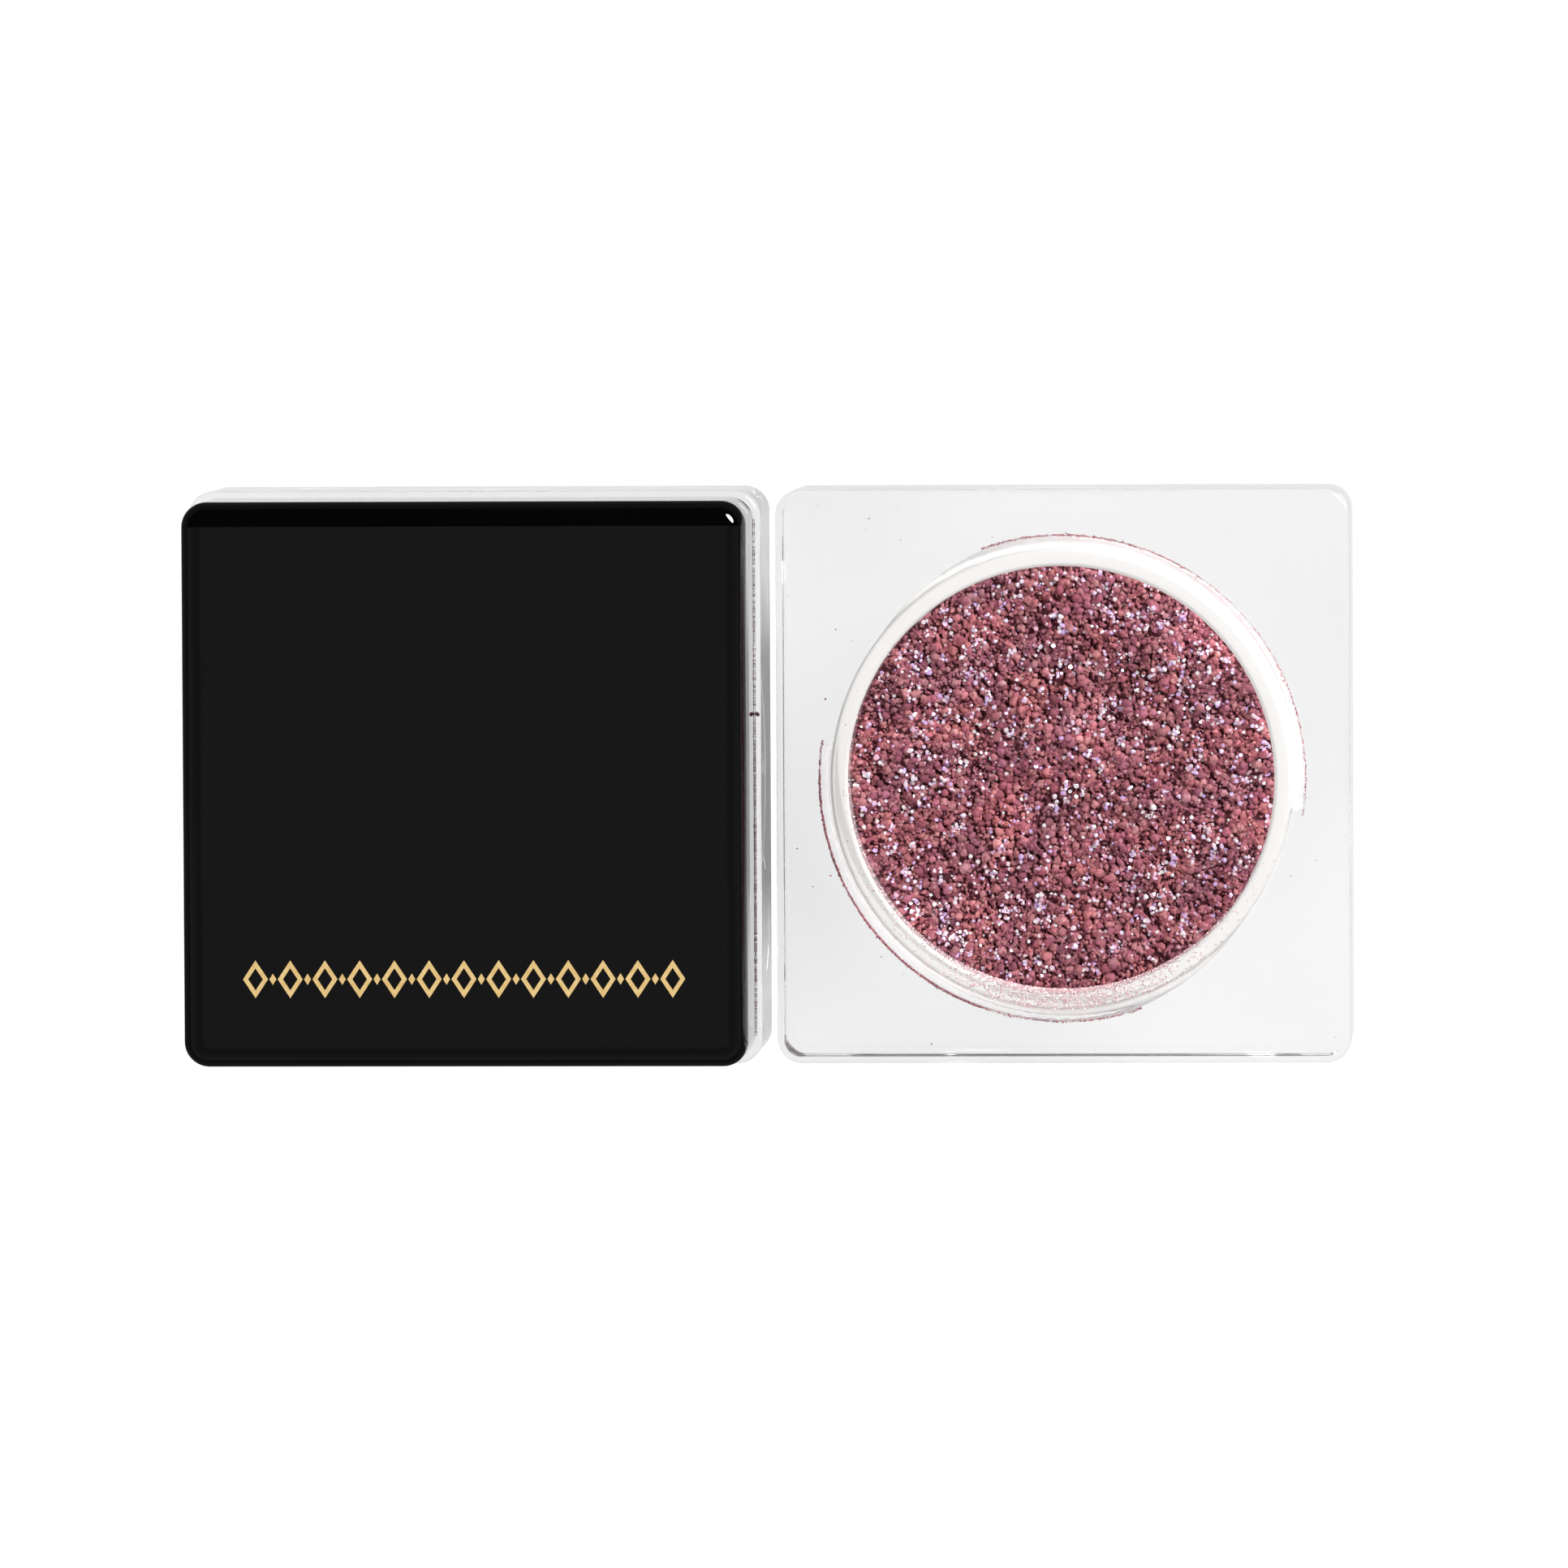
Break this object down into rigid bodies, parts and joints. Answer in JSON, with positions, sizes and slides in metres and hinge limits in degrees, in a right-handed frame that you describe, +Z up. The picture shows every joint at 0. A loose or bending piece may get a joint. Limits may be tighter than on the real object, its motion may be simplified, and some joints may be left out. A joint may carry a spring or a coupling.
{
  "type": "loose eyeshadow pigment jar pair",
  "caption": "Square clear jar of loose glitter eyeshadow pigment with a glossy black screw lid, shown closed beside the same jar standing open.",
  "frame": {"origin": "on the surface that both jars stand on, midway between their centre lines", "axes": "+X from the closed jar to the open jar, +Y towards the back, +Z up"},
  "size_m": [0.0932, 0.046, 0.0262],
  "materials": {
    "clear_acrylic": "clear, polished",
    "cup_clear": "clear, slightly milky",
    "pigment": "crumbly powder with glitter",
    "lid_black": "piano black gloss",
    "liner_black": "satin",
    "seal_foam": "fine foam",
    "foil_gold": "hot-stamped foil"
  },
  "bodies": {
    "closed_jar": {"closed_jar_body": "clear_acrylic", "closed_jar_cup": "cup_clear", "closed_jar_pigment": "pigment"},
    "seal": {"lid_seal": "seal_foam"},
    "lid": {"lid_shell": "lid_black", "lid_liner": "liner_black", "lid_ornament": "foil_gold"},
    "open_jar": {"open_jar_body": "clear_acrylic", "open_jar_cup": "cup_clear", "open_jar_pigment": "pigment"}
  },
  "joints": [
    {"name": "lid_rise", "type": "slide", "parent": "closed_jar", "child": "seal", "axis": [0, 0, 1], "range_m": [0, 0.012]},
    {"name": "lid_turn", "type": "hinge", "parent": "seal", "child": "lid", "pos_m": [-0.0236, 0, 0.01415], "axis": [0, 0, 1], "range_deg": [0, 720]},
    {"name": "open_jar_slide", "type": "slide", "parent": "closed_jar", "child": "open_jar", "axis": [1, 0, 0], "range_m": [0, 0.058]}
  ],
  "couplings": [
    {"joint": "lid_rise", "follows": "lid_turn", "m_per_rad": 0.000954},
    {"joint": "open_jar_slide", "follows": "lid_turn", "m_per_rad": 0.0046}
  ]
}
